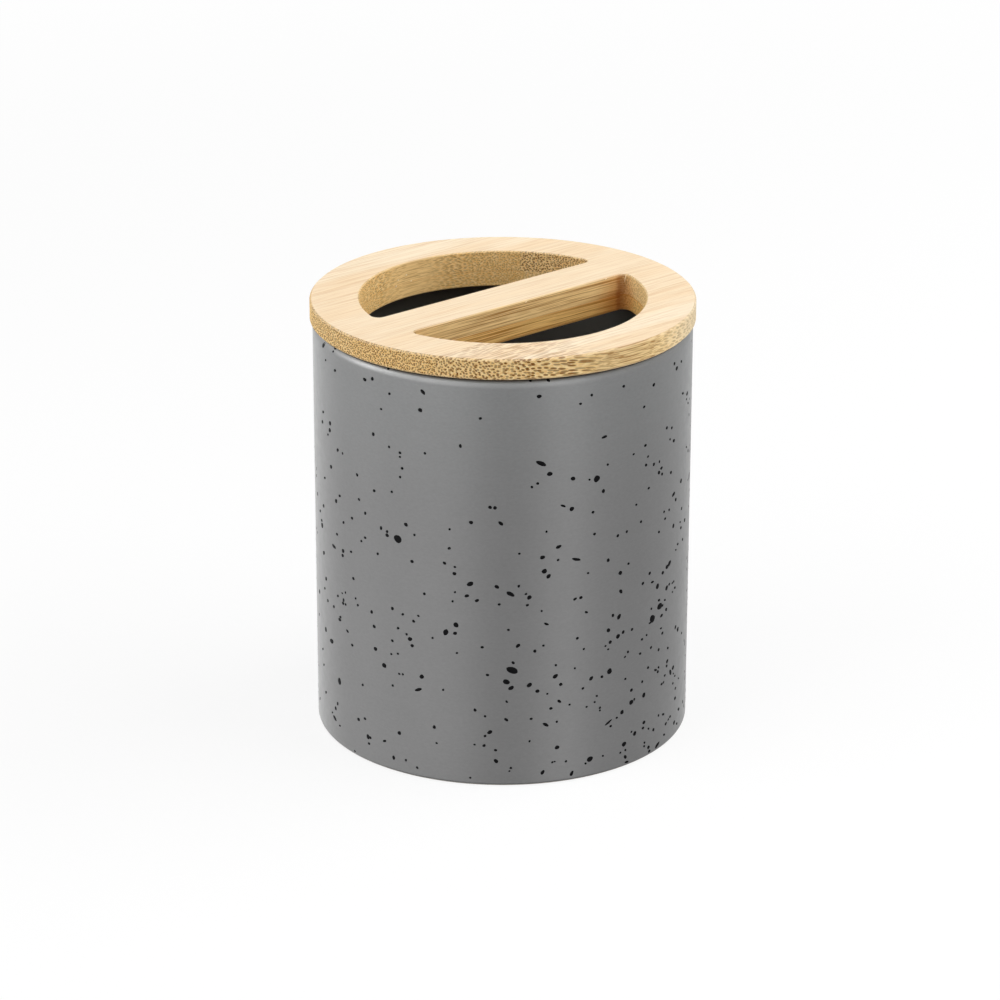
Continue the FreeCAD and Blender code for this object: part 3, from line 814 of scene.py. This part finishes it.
def set_back(height, round_start, corner_round):
    """How far a rounded edge has drawn in at a height past the start of its round."""
    past = min(max(height - round_start, 0), corner_round)
    return corner_round - math.sqrt(corner_round ** 2 - past ** 2)


def on_wall(along, height, proud):
    """A point on the tumbler's wall or its rounded edges, placed along it from the camera's side."""
    cup = bpy.context.scene.holder_tumbler
    turn = bpy.context.scene.holder_stage.camera_side - math.pi / 2 + along / cup_radius
    reach = cup_radius + proud - set_back(-height, -cup.base_round, cup.base_round)
    reach -= set_back(height, cup_height - cup.rim_outer_round, cup.rim_outer_round)
    return reach * math.cos(turn), reach * math.sin(turn), height


def far_from(place, others, spacing):
    """Whether a place on the unrolled wall keeps its distance from the others."""
    return all(math.hypot(place[0] - x, place[1] - y) > spacing for x, y in others)


# How evenly the far side's specks spread up the wall, where 1 would keep the most near the foot
upward_spread = 1.35


def scattered(iron, chance, others):
    """Specks dropped at random on the far side, sized as the seen ones and more towards the foot."""
    far_end = 2 * math.pi * cup_radius - iron.seen_reach
    dropped = []
    while len(dropped) < iron.hidden_count:
        along = chance.uniform(iron.seen_reach, far_end)
        rise = min(chance.random(), chance.uniform(0, upward_spread))
        height = iron.margin + rise * (cup_height - 2 * iron.margin)
        _, _, long, wide, _ = chance.choice(seen_specks)
        lean = chance.uniform(-math.pi / 2, math.pi / 2)
        if far_from((along, height), others, iron.spacing):
            others.append((along, height))
            dropped.append((along, height, long * MM + iron.bleed, wide * MM + iron.bleed, lean))
    return dropped


class HOLDER_OT_specks(bpy.types.Operator):
    """Set the dark specks in the glaze, one by one from a list on the seen side and at random on the far one
    """
    bl_idname = "holder.specks"
    bl_label = "Glaze specks"

    def execute(self, context):
        iron = context.scene.holder_specks
        chance = random.Random(iron.seed)
        specks = [(x * MM, y * MM, a * MM, b * MM, math.radians(lean)) for x, y, a, b, lean in seen_specks]
        specks = [(x, y, a + iron.bleed, b + iron.bleed, lean) for x, y, a, b, lean in specks]
        specks += scattered(iron, chance, [speck[:2] for speck in specks])
        mesh = bmesh.new()
        for speck in specks:
            add_speck(mesh, speck, iron, chance)
        bmesh.ops.recalc_face_normals(mesh, faces=mesh.faces)
        piece = new_piece("glaze_specks", mesh, [iron_finish("iron_specks", iron.iron)])
        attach(piece, "cup")
        return {"FINISHED"}


# Where along a torn fibre its rings of corners lie, as shares of its length
fibre_ring_shares = (0.2, 0.5, 0.8)


def add_fibre(mesh, start, end, width, lift):
    """One torn fibre: a thin closed spindle that stands off a slot wall, towards the slot's middle."""
    open_middle = Vector((0, math.copysign(cup_radius / 2, start.y), start.z))
    outward = (open_middle - start).normalized()
    across = (end - start).cross(outward).normalized()
    rings = []
    for share_along in fibre_ring_shares:
        swell = 1 - (2 * share_along - 1) ** 2
        middle = start.lerp(end, share_along)
        offsets = (across * width / 2, outward * lift, across * width / -2, outward * lift / -2)
        rings.append([mesh.verts.new(middle + offset * swell) for offset in offsets])
    tips = mesh.verts.new(start), mesh.verts.new(end)
    for step in range(len(offsets)):
        after = (step + 1) % len(offsets)
        mesh.faces.new((tips[0], rings[0][step], rings[0][after]))
        mesh.faces.new((tips[1], rings[-1][after], rings[-1][step]))
        for ring, following in zip(rings, rings[1:]):
            mesh.faces.new((ring[step], following[step], following[after], ring[after]))


class HOLDER_OT_lid(bpy.types.Operator):
    """Give each bamboo strip of the lid its own wood, and raise the fibres torn in its slots"""
    bl_idname = "holder.lid"
    bl_label = "Bamboo strips"

    def execute(self, context):
        wood = context.scene.holder_bamboo
        for node_name in strip_woods:
            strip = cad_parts[node_name]
            strip.data.materials.clear()
            strip.data.materials.append(bamboo_finish(node_name, wood))
        mesh = bmesh.new()
        for start, end, width, lift in torn_fibres:
            add_fibre(mesh, Vector(start) * MM, Vector(end) * MM, width * MM, lift * MM)
        bmesh.ops.recalc_face_normals(mesh, faces=mesh.faces)
        piece = new_piece("torn_fibres", mesh, [torn_finish("torn_bamboo", wood)])
        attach(piece, "lid")
        return {"FINISHED"}


class HOLDER_OT_seal(bpy.types.Operator):
    """Turn the soft ring that sits in the plug's groove, with its upswept fins"""
    bl_idname = "holder.seal"
    bl_label = "Seal ring"

    def execute(self, context):
        ring = context.scene.holder_seal
        low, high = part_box("seal_ring")
        tip = high.x
        band = tip - ring.band
        inner = tip - ring.thickness
        pitch = (high.z - low.z) / ring.fins
        corners = [(inner, low.z, 0)]
        for fin in range(ring.fins):
            root = low.z + pitch * fin
            rise = root + pitch * ring.rise_share
            corners.append((band, root, ring.soft_round if fin else 0))
            corners.append((tip, rise, ring.soft_round))
            corners.append((tip, rise + pitch * ring.tip_share, ring.soft_round))
            corners.append((band, root + pitch * ring.root_share, ring.soft_round))
        corners += [(band, high.z, 0), (inner, high.z, 0)]
        points = rounded_outline(corners, context.scene.holder_tumbler.arc_steps // 2)
        mesh = turned_mesh(points + points[:1], ring.segments)
        bmesh.ops.remove_doubles(mesh, verts=mesh.verts, dist=TINY)
        bmesh.ops.recalc_face_normals(mesh, faces=mesh.faces)
        piece = new_piece("silicone_ring", mesh, [silicone_finish("milky_silicone", ring.milky)])
        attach(piece, "seal")
        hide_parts("seal_ring")
        return {"FINISHED"}


def floor_finish(stage):
    """Plain floor: white with a faint shadow near the holder, and clear from below and in the glaze."""
    material, tree, shader, place, _ = new_finish("plain_floor")
    path = add_node(tree, "LightPath", {})
    seen = path.outputs["Is Camera Ray"]
    feed(tree, shader, {
        "Base Color": blend(tree, seen, stage.floor_bounce, stage.floor_shown),
        "Roughness": 0.95,
        "Specular IOR Level": 0,
    })
    glow = outcome(tree, "Emission", {"Color": opaque(stage.floor_shown), "Strength": 1})
    fading = stage.shadow_near / MM, stage.shadow_far / MM
    glow_share = ease(tree, distance(tree, place), *fading, 1 - stage.shadow_share, 1)
    glow_share = sums(tree, "MULTIPLY", seen, glow_share)
    lit = outcome(tree, "MixShader", {0: glow_share, 1: shader.outputs[0], 2: glow})
    clear = outcome(tree, "BsdfTransparent", {})
    under = add_node(tree, "NewGeometry", {}).outputs["Backfacing"]
    unseen = sums(tree, "MAXIMUM", path.outputs["Is Glossy Ray"], under)
    passing = outcome(tree, "MixShader", {0: unseen, 1: lit, 2: clear})
    feed(tree, tree.nodes["Material Output"], {"Surface": passing})
    return material


# Brightness of the surroundings as the glaze mirrors them: a level at the back, then the turn from the
# camera's side at which each change happens, in degrees, and its rise or fall
mirrored_level = 1.4
mirrored_changes = (
    (-100, 1.1), (-60, 0.6), (-16, -1.65), (24, 1.85), (52, -2.0), (80, -0.5), (150, 0.25), (185, 0.35),
)
change_width = math.radians(20)

# How much brighter they are high up on one side, how dark the floor is, and a window. A slope goes from 1,
# straight up, to -1, straight down, and each pair says where something starts and where it is whole
mirrored_lift = 2.0
lift_turn = math.radians(-40)
lift_slopes = (-0.2, 0.3)
lift_sides = (-0.3, 0.3)
mirrored_floor = 0.5
floor_slopes = (-0.55, -0.85)
window_turn = math.radians(-92)
window_level = 9.0
window_sides = (math.radians(19.5), math.radians(6.5))
window_foot_slopes = (0.05, 0.2)
window_head_slopes = (0.75, 0.55)


def mirrored_studio(tree, stage):
    """Brightness of the surroundings in the glaze: soft upright bands, a window and a darker floor."""
    direction = add_node(tree, "TexCoord", {}).outputs["Generated"]
    way = add_node(tree, "SeparateXYZ", {0: direction})
    slope = way.outputs["Z"]
    turn = sums(tree, "ARCTAN2", way.outputs["X"], sums(tree, "MULTIPLY", way.outputs["Y"], -1))
    mirrored = mirrored_level
    for degrees, change in mirrored_changes:
        middle = stage.camera_side + math.radians(degrees)
        step = ease(tree, turn, middle - change_width / 2, middle + change_width / 2, 0, change)
        mirrored = sums(tree, "ADD", step, mirrored)
    lift_side = around(stage.camera_side + lift_turn, 1, 0)
    beside = add_node(tree, "VectorMath", {0: direction, 1: lift_side}, operation="DOT_PRODUCT")
    beside = ease(tree, beside.outputs["Value"], *lift_sides)
    lift = sums(tree, "MULTIPLY", ease(tree, slope, *lift_slopes), beside)
    mirrored = sums(tree, "MULTIPLY", mirrored, ease(tree, lift, 0, 1, 1, mirrored_lift))
    aside = sums(tree, "ABSOLUTE", sums(tree, "SUBTRACT", turn, stage.camera_side + window_turn))
    window = ease(tree, aside, *window_sides, 0, window_level)
    for slopes in (window_foot_slopes, window_head_slopes):
        window = sums(tree, "MULTIPLY", window, ease(tree, slope, *slopes))
    mirrored = sums(tree, "ADD", mirrored, window)
    return between(tree, ease(tree, slope, *floor_slopes), mirrored, mirrored_floor)


def studio_world(stage):
    """White surroundings that light the holder gently and show as a studio in its glaze."""
    world = bpy.data.worlds.new("studio")
    world.use_nodes = True
    tree = world.node_tree
    tree.nodes.clear()
    path = add_node(tree, "LightPath", {})
    strength = ease(tree, path.outputs["Is Camera Ray"], 0, 1, stage.ambient, 1)
    strength = between(tree, path.outputs["Is Glossy Ray"], strength, mirrored_studio(tree, stage))
    backdrop = outcome(tree, "Background", {"Color": opaque((1, 1, 1)), "Strength": strength})
    add_node(tree, "OutputWorld", {"Surface": backdrop})
    return world


def around(turn, reach, height):
    """A place round the holder, turned from the front towards the right."""
    return reach * math.sin(turn), -reach * math.cos(turn), height


# Watts for each square metre of a panel at a brightness of 1
panel_power = 4


def light_panel(name, place, size, level, mirrored=True):
    """Soft panel of a given brightness that faces the tumbler's middle, and may show in the glaze."""
    lamp = bpy.data.lights.new(name, "AREA")
    lamp.shape = "RECTANGLE"
    lamp.size, lamp.size_y = size
    lamp.energy = panel_power * level * size[0] * size[1]
    panel = bpy.data.objects.new(name, lamp)
    panel.location = place
    aim = Vector((0, 0, cup_height / 2)) - Vector(place)
    panel.rotation_euler = aim.to_track_quat("-Z", "Y").to_euler()
    panel.visible_camera = False
    panel.visible_glossy = mirrored
    bpy.context.scene.collection.objects.link(panel)


def hang_panels(stage):
    """One panel above the holder and one on each side of the camera."""
    above = (0, 0, stage.overhead_height)
    light_panel("overhead_panel", above, (stage.overhead_width, stage.overhead_width), stage.overhead)
    for name, turn, width, level, mirrored in (
        ("left_panel", stage.left_turn, stage.left_width, stage.left_light, True),
        ("right_panel", stage.right_turn, stage.right_width, stage.right_light, False),
    ):
        place = around(stage.camera_side + turn, stage.panel_reach, stage.panel_height)
        light_panel(name, place, (width, stage.panel_upright), level, mirrored)


def lay_floor(stage, cup):
    """Floor that faces up, with a hole under the foot."""
    mesh = turned_mesh([(cup_radius - cup.base_round, 0), (stage.floor_size / 2, 0)], cup.segments)
    for face in mesh.faces:
        face.normal_update()
        if face.normal.z < 0:
            face.normal_flip()
    floor = new_piece("floor", mesh, [floor_finish(stage)])


def place_camera(stage):
    """Camera at the photograph's viewing angle."""
    camera = bpy.data.cameras.new("photo_camera")
    camera.lens = stage.focal_length
    camera.sensor_width = stage.sensor_width
    view = bpy.data.objects.new("photo_camera", camera)
    view.location = around(stage.camera_side, stage.camera_reach, stage.camera_height)
    turn = Matrix.Rotation(stage.camera_side + stage.camera_yaw, 3, "Z")
    tilt = Matrix.Rotation(math.pi / 2 - stage.camera_tilt, 3, "X")
    roll = Matrix.Rotation(stage.camera_roll, 3, "Z")
    view.rotation_euler = (turn @ tilt @ roll).to_euler()
    bpy.context.scene.collection.objects.link(view)
    bpy.context.scene.camera = view


class HOLDER_OT_stage(bpy.types.Operator):
    """Set the floor, the soft light and the camera"""
    bl_idname = "holder.stage"
    bl_label = "Stage"

    def execute(self, context):
        scene = context.scene
        scene.view_settings.view_transform = "Standard"
        scene.world = studio_world(scene.holder_stage)
        lay_floor(scene.holder_stage, scene.holder_tumbler)
        hang_panels(scene.holder_stage)
        place_camera(scene.holder_stage)
        return {"FINISHED"}


class HOLDER_PT_sidebar(bpy.types.Panel):
    """Pieces of the holder and their settings"""
    bl_idname = "HOLDER_PT_sidebar"
    bl_label = "Toothbrush Holder"
    bl_space_type = "VIEW_3D"
    bl_region_type = "UI"
    bl_category = "Holder"

    def draw(self, context):
        for operator, settings in operators:
            box = self.layout.box()
            box.operator(operator.bl_idname)
            group = getattr(context.scene, settings)
            for name in group.__annotations__:
                box.prop(group, name)


groups = {
    "holder_tumbler": TumblerSettings,
    "holder_specks": SpeckSettings,
    "holder_bamboo": BambooSettings,
    "holder_seal": SealSettings,
    "holder_stage": StageSettings,
}
operators = (
    (HOLDER_OT_tumbler, "holder_tumbler"),
    (HOLDER_OT_specks, "holder_specks"),
    (HOLDER_OT_lid, "holder_bamboo"),
    (HOLDER_OT_seal, "holder_seal"),
    (HOLDER_OT_stage, "holder_stage"),
)


def register():
    """Add the settings, the operators and the panel."""
    for name, group in groups.items():
        bpy.utils.register_class(group)
        setattr(bpy.types.Scene, name, PointerProperty(type=group))
    for operator, _ in operators:
        bpy.utils.register_class(operator)
    bpy.utils.register_class(HOLDER_PT_sidebar)


def unregister():
    """Take them away again."""
    bpy.utils.unregister_class(HOLDER_PT_sidebar)
    for operator, _ in reversed(operators):
        bpy.utils.unregister_class(operator)
    for name, group in reversed(groups.items()):
        delattr(bpy.types.Scene, name)
        bpy.utils.unregister_class(group)


def main():
    """Build every piece in order."""
    register()
    for operator, _ in operators:
        family, name = operator.bl_idname.split(".")
        getattr(getattr(bpy.ops, family), name)()


if __name__ == "__main__":
    main()
